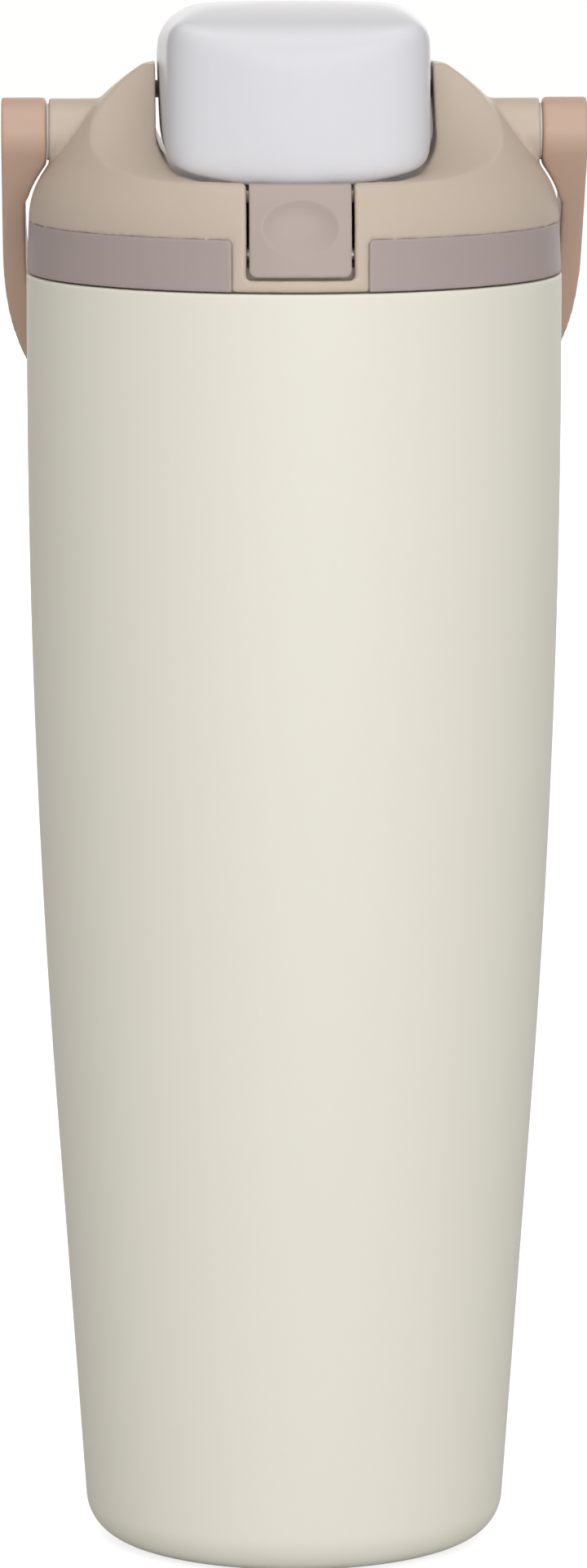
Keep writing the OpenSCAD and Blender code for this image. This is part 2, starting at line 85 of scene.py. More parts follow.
def rod(low, high, y, z, radius, count=96):
    return prism(arcPoints((y, z), radius, 0, 360, count)[:-1], "x", low, high)


def disc(x, y, low, high, radius, count=128):
    return prism(arcPoints((x, y), radius, 0, 360, count)[:-1], "z", low, high)


def lathe(profile, steps=360, name="tool", closed=False):
    # profile is (radius, height); points on the axis become one vertex
    bm = bmesh.new()
    rings = []
    for radius, height in profile:
        if radius < 1e-7:
            rings.append([bm.verts.new((0, 0, height))])
        else:
            turn = [2 * math.pi * k / steps for k in range(steps)]
            rings.append([bm.verts.new((radius * math.cos(a), radius * math.sin(a), height)) for a in turn])
    pairs = list(zip(rings, rings[1:] + rings[:1])) if closed else list(zip(rings, rings[1:]))
    for a, b in pairs:
        for k in range(steps):
            n = (k + 1) % steps
            if len(a) == 1 and len(b) > 1:
                bm.faces.new((a[0], b[k], b[n]))
            elif len(b) == 1 and len(a) > 1:
                bm.faces.new((a[k], a[n], b[0]))
            elif len(a) > 1:
                bm.faces.new((a[k], a[n], b[n], b[k]))
    return toPiece(name, bm)


def settle(obj):
    # keeps what the modifiers make
    deps = bpy.context.evaluated_depsgraph_get()
    mesh = bpy.data.meshes.new_from_object(obj.evaluated_get(deps))
    old = obj.data
    obj.modifiers.clear()
    obj.data = mesh
    bpy.data.meshes.remove(old)
    return obj


def shape(obj, how, *tools):
    for tool in tools:
        step = obj.modifiers.new("shape", "BOOLEAN")
        step.operation = how
        step.solver = "MANIFOLD"
        step.object = tool
    settle(obj)
    for tool in tools:
        bpy.data.meshes.remove(tool.data)
    return obj


def cut(obj, *tools):
    return shape(obj, "DIFFERENCE", *tools)


def add(obj, *tools):
    return shape(obj, "UNION", *tools)


def keep(obj, *tools):
    return shape(obj, "INTERSECT", *tools)


def soften(obj, name, voxel, passes):
    # an even fine mesh whose edges are rounded by the smoothing
    grid = obj.modifiers.new("grid", "REMESH")
    grid.mode = "VOXEL"
    grid.voxel_size = voxel
    grid.use_smooth_shade = True
    ease = obj.modifiers.new("ease", "SMOOTH")
    ease.factor = 0.5
    ease.iterations = passes
    settle(obj)
    obj.name = name
    obj.data.name = name
    return obj


def shadeSmooth(obj):
    for face in obj.data.polygons:
        face.use_smooth = True
    return obj


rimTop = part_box("outer_shell")[1].z
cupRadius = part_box("outer_shell")[1].x
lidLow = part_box("lid_shell")[0].z
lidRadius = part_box("grip_band")[1].x
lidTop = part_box("lid_shell")[1].z
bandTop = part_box("grip_band")[1].z
capLow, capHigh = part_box("cap_shell")
buttonLow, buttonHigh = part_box("latch_button")
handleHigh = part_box("handle_loop")[1]
jointOf = {j["name"]: j for j in frame["joints"]}
pivotZ = jointOf["handle_swing"]["pos_m"][2]
capHinge = jointOf["cap_flip"]["pos_m"]
buttonHinge = jointOf["button_press"]["pos_m"]

cup = {
    "neck": 0.0128, "bowRadius": 1.85, "bowFoot": 0.075, "baseEdge": 0.0072,
    "wall": 0.0008, "rimRound": 0.0005, "coverRadius": 0.026, "coverDepth": 0.0008,
    "dimpleRadius": 0.004, "dimpleDepth": 0.0022, "gap": 0.0022,
}


def cupSide():
    # outer radius at a height, and the slope of the straight lower side
    bowTop = rimTop - cup["neck"]
    span = bowTop - cup["bowFoot"]
    slope = span / math.sqrt(cup["bowRadius"] ** 2 - span ** 2)

    def drop(z):
        return cup["bowRadius"] - math.sqrt(cup["bowRadius"] ** 2 - (bowTop - z) ** 2)

    def radiusAt(z):
        if z > bowTop:
            return cupRadius
        if z > cup["bowFoot"]:
            return cupRadius - drop(z)
        return cupRadius - drop(cup["bowFoot"]) - slope * (cup["bowFoot"] - z)
    return radiusAt, math.degrees(math.atan(slope))


def makeCup():
    radiusAt, lean = cupSide()
    edge, wall = cup["baseEdge"], cup["wall"]
    heights = [edge + (rimTop - 0.001 - edge) * i / 60 for i in range(1, 61)]
    outer = arcPoints((radiusAt(edge) - edge / math.cos(math.radians(lean)), edge), edge, -90, -lean, 14)
    outer += [(radiusAt(z), z) for z in heights]
    outer += arcPoints((cupRadius - cup["rimRound"], rimTop - cup["rimRound"]), cup["rimRound"], 0, 90, 5)
    inner = [(cupRadius - wall - cup["gap"], rimTop), (cupRadius - wall - cup["gap"], rimTop - wall),
             (cupRadius - wall, rimTop - wall)]
    inner += [(radiusAt(z) - wall, z) for z in reversed(heights[4:-2:3])]
    inner += [(radiusAt(edge) - edge, 2 * wall), (cup["dimpleRadius"] + wall, 2 * wall),
              (cup["dimpleRadius"] + wall, cup["dimpleDepth"] + wall), (0, cup["dimpleDepth"] + wall)]
    under = [(0, cup["dimpleDepth"]), (cup["dimpleRadius"], cup["dimpleDepth"]),
             (cup["dimpleRadius"], cup["coverDepth"]), (cup["coverRadius"], cup["coverDepth"]),
             (cup["coverRadius"], 0.0003), (cup["coverRadius"] + 0.0003, 0)]
    obj = lathe(under + outer + inner, 320, "cupBody")
    shadeSmooth(obj)
    obj.data.set_sharp_from_angle(angle=math.radians(40))
    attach(obj, "cup")
    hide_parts("outer_shell")
    return obj


lid = {
    "lean": 2.2, "sideHeight": 0.0092, "shoulder": 0.014,
    "slope": 0.150, "slopeStart": 33.5, "slopeEnd": 37.5,
    "crown": 0.042, "wall": 0.00215, "scoopRadius": 0.0558, "scoopY": -0.0405, "scoopLow": 0.0174,
    "bossX": 0.04135, "bossInX": 0.030, "bossRadius": 0.00565, "pinBore": 0.00255,
    "bandThick": 0.001, "bandEnd": 0.0112, "bandCorner": 0.001, "bandVoxel": 0.0003, "bandPasses": 3,
    "trayWall": 0.002, "slotGap": 0.0007, "ledgeSpare": 0.0006,
    "deckTop": 0.0039, "deckRadius": 0.0423, "pocketLow": 0.00195, "pocketGap": 0.00045,
    "earDeep": 0.0025, "earRadius": 0.0022, "seatThick": 0.0012, "spoutHole": 0.0098, "spoutHoleTop": 0.0192,
    "latchHalf": 0.0044, "latchDeep": 0.0058, "latchLow": 0.0122, "latchHigh": 0.0172,
    "voxel": 0.00042, "passes": 3,
}


def domeProfile(inset, low):
    lean = lid["lean"]

    def onArc(centre, radius, angle):
        a = math.radians(angle)
        return (centre[0] + radius * math.cos(a), centre[1] + radius * math.sin(a))

    def centreFor(point, radius, angle):
        return onArc(point, -radius, angle)
    sideEnd = (lidRadius - lid["sideHeight"] * math.tan(math.radians(lean)), lid["sideHeight"])
    shoulder = centreFor(sideEnd, lid["shoulder"], lean)
    slope = centreFor(onArc(shoulder, lid["shoulder"], lid["slopeStart"]), lid["slope"], lid["slopeStart"])
    crown = centreFor(onArc(slope, lid["slope"], lid["slopeEnd"]), lid["crown"], lid["slopeEnd"])
    top = lidTop - lidLow - inset
    crownEnd = math.degrees(math.asin(min(1, (top - crown[1]) / (lid["crown"] - inset))))
    points = [(0, low), (lidRadius - inset - low * math.tan(math.radians(lean)), low)]
    points += arcPoints(shoulder, lid["shoulder"] - inset, lean, lid["slopeStart"], 24)
    points += arcPoints(slope, lid["slope"] - inset, lid["slopeStart"], lid["slopeEnd"], 8)[1:]
    points += arcPoints(crown, lid["crown"] - inset, lid["slopeEnd"], crownEnd, 30)[1:]
    points.append((0, top))
    return [(r, z + lidLow) for r, z in points]


def dome(inset=0.0, low=0.0, name="tool"):
    return lathe(domeProfile(inset, low), 360, name)


def scoop(grow=0.0):
    z = lidLow + lid["scoopLow"] + lid["scoopRadius"]
    return rod(-reach, reach, lid["scoopY"], z, lid["scoopRadius"] + grow, 480)


cap = {
    "bottom": 0.0162, "top": 0.0461, "belly": 0.073, "lowCorner": 0.0055, "lowTuck": 0.00045,
    "topCorner": 0.009, "crest": 0.250, "frontBow": 0.066, "planCorner": 0.0075, "taper": 0.0013,
    "lip": 0.007, "roofTop": 0.022, "roofDrop": 0.005, "back": 0.009, "wall": 0.002, "knuckle": 0.0034,
    "skirt": 0.0152, "pinBore": 0.0019, "tongueInset": 0.0026, "tongueTop": 0.023,
    "heelFront": 0.004, "heelFall": 0.016,
    "voxel": 0.0004, "blend": 120, "passes": 4,
}
capHalf = capHigh.x
capFront, capRear = capLow.y, capHigh.y
capBottom = lidLow + cap["bottom"]
capTop = lidLow + cap["top"]


def tangentCentre(bow, bowCentre, corner, cornerX, sign):
    # centre of a corner arc that touches the bow from inside
    return (cornerX, bowCentre + sign * math.sqrt((bow - corner) ** 2 - cornerX ** 2))


def lowHalf(grow):
    centre = capBottom + cap["belly"]
    x = capHalf - cap["lowTuck"] - cap["lowCorner"]
    corner = tangentCentre(cap["belly"], centre, cap["lowCorner"], x, -1)
    turn = math.degrees(math.atan2(corner[1] - centre, x))
    return (arcPoints((0, centre), cap["belly"] + grow, -90, turn, 16)
            + arcPoints(corner, cap["lowCorner"] + grow, turn, 0, 14)[1:])


def frontHalf(grow):
    centre = capTop - cap["crest"]
    x = capHalf - cap["topCorner"]
    corner = tangentCentre(cap["crest"], centre, cap["topCorner"], x, 1)
    turn = math.degrees(math.atan2(corner[1] - centre, x))
    points = lowHalf(grow) + arcPoints(corner, cap["topCorner"] + grow, 0, turn, 18)
    points += arcPoints((0, centre), cap["crest"] + grow, turn, 90, 14)[1:-1]
    return points + [(0, centre + cap["crest"] + grow)]


sideTurn = -math.degrees(math.atan(cap["taper"] / (capRear - capFront - 2 * cap["planCorner"])))


def planHalf(grow, rear):
    centre = capFront + cap["frontBow"]
    x = capHalf - cap["taper"] - cap["planCorner"]
    corner = tangentCentre(cap["frontBow"], centre, cap["planCorner"], x, -1)
    turn = math.degrees(math.atan2(corner[1] - centre, x))
    return (arcPoints((0, centre), cap["frontBow"] + grow, -90, turn, 16)
            + arcPoints(corner, cap["planCorner"] + grow, turn, sideTurn, 14)[1:] + rear)


def rearCorner(grow):
    centre = (capHalf - cap["planCorner"], capRear - cap["planCorner"])
    return arcPoints(centre, cap["planCorner"] + grow, sideTurn, 90, 14)


def closeHalf(half):
    # drops doubled points on the middle line before mirroring
    other = [(-x, y) for x, y in reversed(half) if abs(x) > 1e-7]
    return half + other


def capSide(grow):
    # front lip, a roof that falls away both ways from its crest, and the rounded back
    lip, back = cap["lip"], cap["back"]
    crestY = capFront + cap["roofTop"]
    span = capRear - back - crestY

    def fall(y):
        return cap["roofDrop"] * ((y - crestY) / span) ** 2
    lipTurn = 90 + math.degrees(math.atan(2 * cap["roofDrop"] * (cap["roofTop"] - 0.7 * lip) / span ** 2))
    lipEnd = capFront + lip * (1 + math.cos(math.radians(lipTurn)))
    lipCentre = (capFront + lip, capTop - fall(lipEnd) - lip * math.sin(math.radians(lipTurn)))
    points = arcPoints(lipCentre, lip + grow, 180, lipTurn, 20)
    for i in range(1, 24):
        y = lipEnd + (capRear - back - lipEnd) * i / 24
        points.append((y, capTop + grow - fall(y)))
    backTurn = 90 - math.degrees(math.atan(2 * cap["roofDrop"] / span))
    return points + arcPoints((capRear - back, capTop - cap["roofDrop"] - back), back + grow, backTurn, 0, 14)


def slotTool(grow):
    spread = lid["slotGap"] + grow
    half = lowHalf(spread) + [(capHalf + spread, lidLow + reach)]
    front = prism(closeHalf(half), "y", -reach, reach)
    wide = capHalf + lid["slotGap"] + 0.009
    plan = planHalf(spread, [(wide, capFront + 0.012), (wide, reach)])
    return keep(front, prism(closeHalf(plan), "z", lidLow, lidLow + reach))


def capSolid(grow, low, openBelow):
    front = prism(closeHalf(frontHalf(grow)), "y", -reach, reach)
    if openBelow:
        x = capHalf - cap["tongueInset"]
        add(front, block((-x, -reach, lidLow - reach), (x, reach, lidLow + cap["tongueTop"])))
    plan = prism(closeHalf(planHalf(grow, rearCorner(grow))), "z", lidLow - reach, lidLow + reach)
    side = [(capFront - grow, low)] + capSide(grow)
    if openBelow:
        side += [(capRear + grow, low)]
    else:
        heel = capHinge[2] - cap["knuckle"]
        side += [(capRear + grow, heel), (capHinge[1] - cap["heelFront"], heel)]
        side += [(capHinge[1] - cap["heelFall"], low)]
    return keep(front, plan, prism(side, "x", -reach, reach))


def bandTools():
    # the ends beside the button have a rounded upper corner
    end, turn = lid["bandEnd"], lid["bandCorner"]
    half = [(end, lidLow - reach)] + arcPoints((end + turn, bandTop - turn), turn, 180, 90, 12)
    half += [(end + turn, bandTop + reach)]
    gap = prism(closeHalf(half), "y", -reach, 0)
    above = block((-reach, -reach, bandTop), (reach, reach, bandTop + reach))
    return [dome(lid["bandThick"], -0.001), above, gap]


def bossRods():
    return [rod(min(a, b), max(a, b), 0, pivotZ, lid["bossRadius"], 128)
            for a, b in ((lid["bossInX"], lid["bossX"]), (-lid["bossInX"], -lid["bossX"]))]


def pocketBack(pocket):
    # clear of the ledge's corners when the button is pressed
    sag = cap["frontBow"] - math.sqrt(cap["frontBow"] ** 2 - pocket ** 2)
    rise = lidLow + lid["scoopLow"] + lid["ledgeSpare"] - buttonHinge[2]
    travel = rise * math.sin(math.radians(button["press"]))
    return capFront - button["ledgeGap"] + sag + travel + handle["lidGap"]


def makeLid():
    pocket = buttonHigh.x + lid["pocketGap"]
    hollow = dome(lid["wall"], -0.001)
    cut(hollow, slotTool(lid["trayWall"]), scoop(lid["trayWall"]), *bossRods())
    for side in (-1, 1):
        ends = sorted((side * pocket, side * (pocket + lid["earDeep"])))
        cut(hollow, rod(ends[0], ends[1], buttonHinge[1], buttonHinge[2], lid["earRadius"]))
    deck, seatThick = lidLow + lid["deckTop"], lid["seatThick"]
    seat = disc(0, 0, deck, deck + seatThick, lidRadius, 256)
    cut(seat, disc(0, 0, lidLow, lidLow + 0.02, lid["deckRadius"] - seatThick, 256))
    cut(hollow, seat)
    obj = add(dome(), rod(-lid["bossX"], lid["bossX"], 0, pivotZ, lid["bossRadius"], 160))
    cut(obj, hollow, scoop(), slotTool(0.0))
    pocketLow = lidLow + lid["pocketLow"]
    cut(obj, block((-pocket, -reach, pocketLow), (pocket, pocketBack(pocket), lidLow + reach)))
    cut(obj, cut(dome(), *bandTools()))
    for side in (-1, 1):
        ends = sorted((side * (lid["bossInX"] - 0.001), side * (lid["bossX"] + 0.001)))
        cut(obj, rod(ends[0], ends[1], 0, pivotZ, lid["pinBore"]))
    spoutLow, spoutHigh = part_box("spout")
    spoutY = (spoutLow.y + spoutHigh.y) / 2
    cut(obj, disc(0, spoutY, lidLow, lidLow + lid["spoutHoleTop"], lid["spoutHole"]))
    cut(obj, block((-lid["latchHalf"], capFront - 0.0003, lidLow + lid["latchLow"]),
                   (lid["latchHalf"], capFront + lid["latchDeep"], lidLow + lid["latchHigh"])))
    soften(obj, "lidDome", lid["voxel"], lid["passes"])
    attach(obj, "lid")
    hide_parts("lid_shell")
    return obj


def makeBand():
    obj = cut(dome(), *bandTools())
    soften(obj, "gripBand", lid["bandVoxel"], lid["bandPasses"])
    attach(obj, "lid")
    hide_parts("grip_band")
    return obj


def makeCap():
    # the outside is blended first, so that lip, roof and corners run into each other
    obj = capSolid(0.0, lidLow + cap["skirt"], False)
    soften(obj, "flipCap", cap["voxel"], cap["blend"])
    cut(obj, capSolid(-cap["wall"], lidLow - 0.001, True),
        rod(-reach, reach, capHinge[1], capHinge[2], cap["pinBore"]))
    soften(obj, "flipCap", cap["voxel"], cap["passes"])
    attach(obj, "cap")
    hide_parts("cap_shell")
    return obj


button = {
    "thick": 0.002, "cornerRound": 0.0012, "ledgeLow": 0.0149, "ledgeGap": 0.0014, "press": 5,
    "dimpleWide": 0.0064, "dimpleTall": 0.0046, "dimpleDeep": 0.0014, "dimpleZ": 0.0106,
    "dimpleSkin": 0.0016, "dimpleLean": 0.0035, "dimpleTilt": 8, "dimpleTurn": 14,
    "armX": 0.0046, "armWide": 0.0018, "armLow": 0.0116, "armThick": 0.0015, "armRoot": 0.002,
    "barY": -0.0316, "barThick": 0.0015,
    "hubRadius": 0.0019, "pinRadius": 0.00105, "voxel": 0.00022, "passes": 6,
}


def pressDimple(obj):
    # oval bowl for the thumb, pressed in along the face's own slope
    for vertex in obj.data.vertices:
        x, y, z = vertex.co
        across, up = x / button["dimpleWide"], (z - lidLow - button["dimpleZ"]) / button["dimpleTall"]
        out = math.hypot(across, up)
        if out < 1 and y < -lidRadius + button["dimpleSkin"] + button["dimpleLean"] * max(0, up):
            deep = button["dimpleDeep"] * (1 - out ** 3) ** 1.2
            tilt = math.radians(button["dimpleTilt"] + button["dimpleTurn"] * up)
            vertex.co = (x, y + deep * math.cos(tilt), z - deep * math.sin(tilt))


def makeButton():
    half = buttonHigh.x
    turn = button["cornerRound"]
    back = cut(dome(button["thick"], -0.001),
               block((-half, -reach, lidLow + button["ledgeLow"]), (half, 0, lidLow + reach)))
    obj = cut(dome(), back, scoop())
    low = buttonLow.z
    face = arcPoints((half - turn, low + turn), turn, -90, 0, 10) + [(half, low + reach)]
    keep(obj, prism(closeHalf(face), "y", -reach, 0),
         block((-half, -lidRadius - 0.005, low - 0.001), (half, capFront + 0.003, low + reach)))
    plan = closeHalf(planHalf(button["ledgeGap"], [(reach, capFront + 0.02), (reach, reach)]))
    cut(obj, prism(plan, "z", lidLow - 0.01, lidLow + reach))
    axle = rod(-half, half, buttonHinge[1], buttonHinge[2], button["hubRadius"])
    cut(axle, rod(-reach, reach, buttonHinge[1], buttonHinge[2], button["pinRadius"]))
    add(obj, axle)
    armLow = lidLow + button["armLow"]
    armTop = armLow + button["armThick"]
    wide, barY = button["armX"] + button["armWide"], button["barY"]
    for side in (-1, 1):
        xs = sorted((side * button["armX"], side * wide))
        add(obj, block((xs[0], -lidRadius + button["armRoot"], armLow), (xs[1], barY + 0.0001, armTop)))
    add(obj, block((-wide, barY, armLow), (wide, barY + button["barThick"], armTop)))
    soften(obj, "thumbButton", button["voxel"], button["passes"])
    pressDimple(obj)
    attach(obj, "button")
    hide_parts("latch_button")
    return obj


handle = {
    "width": 0.0116, "thick": 0.0039, "hubIn": 0.04175, "innerHalf": 0.04545,
    "flare": 0.0115, "bow": 0.022, "power": 2.5, "reach": 0.075, "pinBore": 0.00252, "boreDeep": 0.0049,
    "restGap": 0.00035, "lidGap": 0.0004, "dishTrim": 0.0046, "voxel": 0.0004, "passes": 7,
}


def loopHalf(halfWidth, far):
    points = []
    for i in range(65):
        t = math.radians(90 * i / 64)
        points.append((halfWidth * max(0, math.cos(t)) ** (2 / handle["power"]),
                       handle["bow"] + (far - handle["bow"]) * math.sin(t) ** (2 / handle["power"])))
    points[-1] = (0, far)
    return points


def shoulderDish(side):
    # room for the lid's shoulder round the pivot, whatever way the handle points
    turned = [(pivotZ - z, r + handle["lidGap"]) for r, z in domeProfile(0, 0)
              if lidLow + lid["sideHeight"] - 0.0005 < z < pivotZ - handle["dishTrim"]]
    profile = [(0, 0), (turned[0][0], 0)] + turned + [(0, turned[-1][1])]
    dish = lathe(profile, 256)
    dish.data.transform(Matrix.Translation((0, 0, pivotZ)) @ Matrix.Rotation(side * math.pi / 2, 4, "Y"))
    return dish


def makeHandle():
    half = handle["width"] / 2
    hubOut = handleHigh.x
    hold = math.hypot(handle["reach"], half)
    tilt = math.asin((cupRadius + handle["restGap"]) / hold) + math.atan(half / handle["reach"])
    turn = Matrix.Translation((0, 0, pivotZ)) @ Matrix.Rotation(tilt - math.pi / 2, 4, "X")
    outer = [(hubOut, 0)] + loopHalf(hubOut, handle["reach"] + handle["thick"])
    inner = [(handle["hubIn"], -0.001), (handle["hubIn"], half), (handle["innerHalf"], handle["flare"])]
    inner += loopHalf(handle["innerHalf"], handle["reach"])
    obj = prism(closeHalf(outer), "z", -half, half)
    cut(obj, prism(closeHalf(inner), "z", -reach, reach))
    obj.data.transform(turn)
    for side in (-1, 1):
        ends = sorted((side * handle["hubIn"], side * hubOut))
        add(obj, rod(ends[0], ends[1], 0, pivotZ, half, 160))
        bore = sorted((side * (handle["hubIn"] - 0.001), side * (handle["hubIn"] + handle["boreDeep"])))
        cut(obj, rod(bore[0], bore[1], 0, pivotZ, handle["pinBore"]), shoulderDish(side))
    soften(obj, "carryLoop", handle["voxel"], handle["passes"])
    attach(obj, "handle")
    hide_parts("handle_loop")
    return obj


cupBody = makeCup()
print("cup made")
lidDome = makeLid()
gripBand = makeBand()
print("lid made:", len(lidDome.data.polygons), "and", len(gripBand.data.polygons), "faces")
flipCap = makeCap()
print("cap made:", len(flipCap.data.polygons), "faces")
thumbButton = makeButton()
print("button made:", len(thumbButton.data.polygons), "faces")
carryLoop = makeHandle()
print("handle made:", len(carryLoop.data.polygons), "faces")

# fine edges on the pieces that keep their own shape
edgeRound = {
    "lid_plug": 0.00025, "spout": 0.00025, "cap_liner": 0.0003, "cap_seal": 0.0002, "vent_valve": 0.0002,
    "base_cover": 0.0002, "handle_pin_left": 0.0003, "handle_pin_right": 0.0003,
    "cap_hinge_pin": 0.0002, "button_pin": 0.00015, "getter_pill": 0.0003,
}
for name, width in edgeRound.items():
    weld = nodes[name].modifiers.new("weld", "WELD")
    weld.merge_threshold = 1e-6
    bevel = nodes[name].modifiers.new("edges", "BEVEL")
    bevel.width = width
    bevel.segments = 2
    bevel.limit_method = "ANGLE"
    bevel.angle_limit = math.radians(40)
    bevel.harden_normals = True


def newGroup(name, inputs, outputs):
    group = bpy.data.node_groups.new(name, "ShaderNodeTree")
    for label, kind, value in inputs:
        socket = group.interface.new_socket(name=label, in_out="INPUT", socket_type=kind)
        socket.default_value = value
    for label, kind in outputs:
        group.interface.new_socket(name=label, in_out="OUTPUT", socket_type=kind)
    return group, group.nodes.new("NodeGroupInput"), group.nodes.new("NodeGroupOutput")


def node(tree, kind, settings=None, **values):
    made = tree.nodes.new(kind)
    for key, value in (settings or {}).items():
        setattr(made, key, value)
    for key, value in values.items():
        made.inputs[key.replace("_", " ")].default_value = value
    return made


def link(tree, source, target):
    tree.links.new(source, target)


def mathNode(tree, operation, first, second):
    made = tree.nodes.new("ShaderNodeMath")
    made.operation = operation
    for slotIndex, value in ((0, first), (1, second)):
        if hasattr(value, "is_linked"):
            tree.links.new(value, made.inputs[slotIndex])
        else:
            made.inputs[slotIndex].default_value = value
    return made.outputs[0]


def mixColors(tree, factor, first, second, blend="MIX"):
    made = tree.nodes.new("ShaderNodeMix")
    made.data_type = "RGBA"
    made.blend_type = blend
    sockets = {"Factor": made.inputs[0], "A": made.inputs[6], "B": made.inputs[7]}
    for key, value in (("Factor", factor), ("A", first), ("B", second)):
        if hasattr(value, "is_linked"):
            tree.links.new(value, sockets[key])
        else:
            sockets[key].default_value = value
    return made.outputs[2]


def makeFineGrain():
    # sprayed or moulded grain: a soft cell relief with finer noise on it
    group, inp, out = newGroup("fineGrain", [
        ("Size", "NodeSocketFloat", 0.0006), ("Relief", "NodeSocketFloat", 0.5),
        ("Speckle", "NodeSocketFloat", 0.5),
    ], [("Height", "NodeSocketFloat"), ("Tone", "NodeSocketFloat")])
    coord = node(group, "ShaderNodeTexCoord")
    density = mathNode(group, "DIVIDE", 1.0, inp.outputs["Size"])
    cells = node(group, "ShaderNodeTexVoronoi", {"feature": "SMOOTH_F1"}, Smoothness=0.8)
    fine = node(group, "ShaderNodeTexNoise", None, Detail=2.0, Roughness=0.6)
    for tex, factor in ((cells, 1.0), (fine, 1.7)):
        link(group, coord.outputs["Object"], tex.inputs["Vector"])
        link(group, mathNode(group, "MULTIPLY", density, factor), tex.inputs["Scale"])
    relief = mathNode(group, "MULTIPLY", cells.outputs["Distance"], inp.outputs["Relief"])
    noise = mathNode(group, "MULTIPLY", fine.outputs["Fac"], inp.outputs["Speckle"])
    link(group, mathNode(group, "ADD", relief, noise), out.inputs["Height"])
    link(group, fine.outputs["Fac"], out.inputs["Tone"])
    return group


def makeToneDrift():
    # slow uneven tone over the piece, and small specks on top
    group, inp, out = newGroup("toneDrift", [
        ("Color", "NodeSocketColor", (0.8, 0.8, 0.8, 1)), ("Deep", "NodeSocketColor", (0.7, 0.7, 0.7, 1)),
        ("Size", "NodeSocketFloat", 0.03), ("Amount", "NodeSocketFloat", 0.3),
        ("Tone", "NodeSocketFloat", 0.5), ("Specks", "NodeSocketFloat", 0.1),
    ], [("Color", "NodeSocketColor"), ("Mask", "NodeSocketFloat")])
    coord = node(group, "ShaderNodeTexCoord")
    cloud = node(group, "ShaderNodeTexNoise", None, Detail=3.0, Roughness=0.55)
    link(group, coord.outputs["Object"], cloud.inputs["Vector"])
    link(group, mathNode(group, "DIVIDE", 1.0, inp.outputs["Size"]), cloud.inputs["Scale"])
    amount = mathNode(group, "MULTIPLY", cloud.outputs["Fac"], inp.outputs["Amount"])
    above = mathNode(group, "SUBTRACT", inp.outputs["Tone"], 0.4)
    speck = mathNode(group, "MULTIPLY", above, inp.outputs["Specks"])
    total = mathNode(group, "ADD", amount, speck)
    group.nodes[-1].use_clamp = True
    link(group, mixColors(group, total, inp.outputs["Color"], inp.outputs["Deep"]), out.inputs["Color"])
    link(group, cloud.outputs["Fac"], out.inputs["Mask"])
    return group


def makePaintedEdgeHighlight():
    # painted highlight along edges: how far the surface turns within a small distance
    group, inp, out = newGroup("paintedEdgeHighlight", [
        ("Reach", "NodeSocketFloat", 0.0008), ("Amount", "NodeSocketFloat", 0.3),
    ], [("Mask", "NodeSocketFloat")])
    bevel = node(group, "ShaderNodeBevel", {"samples": 4})
    link(group, inp.outputs["Reach"], bevel.inputs["Radius"])
    here = node(group, "ShaderNodeNewGeometry")
    turn = node(group, "ShaderNodeVectorMath", {"operation": "DOT_PRODUCT"})
    link(group, bevel.outputs["Normal"], turn.inputs[0])
    link(group, here.outputs["Normal"], turn.inputs[1])
    bend = mathNode(group, "SUBTRACT", 1.0, turn.outputs["Value"])
    link(group, mathNode(group, "MULTIPLY", mathNode(group, "MULTIPLY", bend, 6.0), inp.outputs["Amount"]),
         out.inputs["Mask"])
    return group


def makeBrushedLines():
    # fine lines that run round the upright axis
    group, inp, out = newGroup("brushedLines", [
        ("Pitch", "NodeSocketFloat", 0.0004), ("Drift", "NodeSocketFloat", 0.02),
    ], [("Height", "NodeSocketFloat"), ("Tone", "NodeSocketFloat")])
    coord = node(group, "ShaderNodeTexCoord")
    split = node(group, "ShaderNodeSeparateXYZ")
    link(group, coord.outputs["Object"], split.inputs[0])
    radius = mathNode(group, "SQRT", mathNode(group, "ADD", mathNode(group, "POWER", split.outputs["X"], 2.0),
                                              mathNode(group, "POWER", split.outputs["Y"], 2.0)), 0.0)
    angle = mathNode(group, "ARCTAN2", split.outputs["Y"], split.outputs["X"])
    joined = node(group, "ShaderNodeCombineXYZ")
    link(group, mathNode(group, "DIVIDE", split.outputs["Z"], inp.outputs["Pitch"]), joined.inputs["X"])
    link(group, mathNode(group, "DIVIDE", radius, inp.outputs["Pitch"]), joined.inputs["Y"])
    link(group, mathNode(group, "MULTIPLY", angle, 3.0), joined.inputs["Z"])
    lines = node(group, "ShaderNodeTexNoise", None, Scale=1.0, Detail=3.0, Roughness=0.7)
    link(group, joined.outputs[0], lines.inputs["Vector"])
    cloud = node(group, "ShaderNodeTexNoise", None, Detail=2.0)
    link(group, coord.outputs["Object"], cloud.inputs["Vector"])
    link(group, mathNode(group, "DIVIDE", 1.0, inp.outputs["Drift"]), cloud.inputs["Scale"])
    link(group, lines.outputs["Fac"], out.inputs["Height"])
    link(group, mathNode(group, "ADD", mathNode(group, "MULTIPLY", lines.outputs["Fac"], 0.6),
                         mathNode(group, "MULTIPLY", cloud.outputs["Fac"], 0.4)), out.inputs["Tone"])
    return group


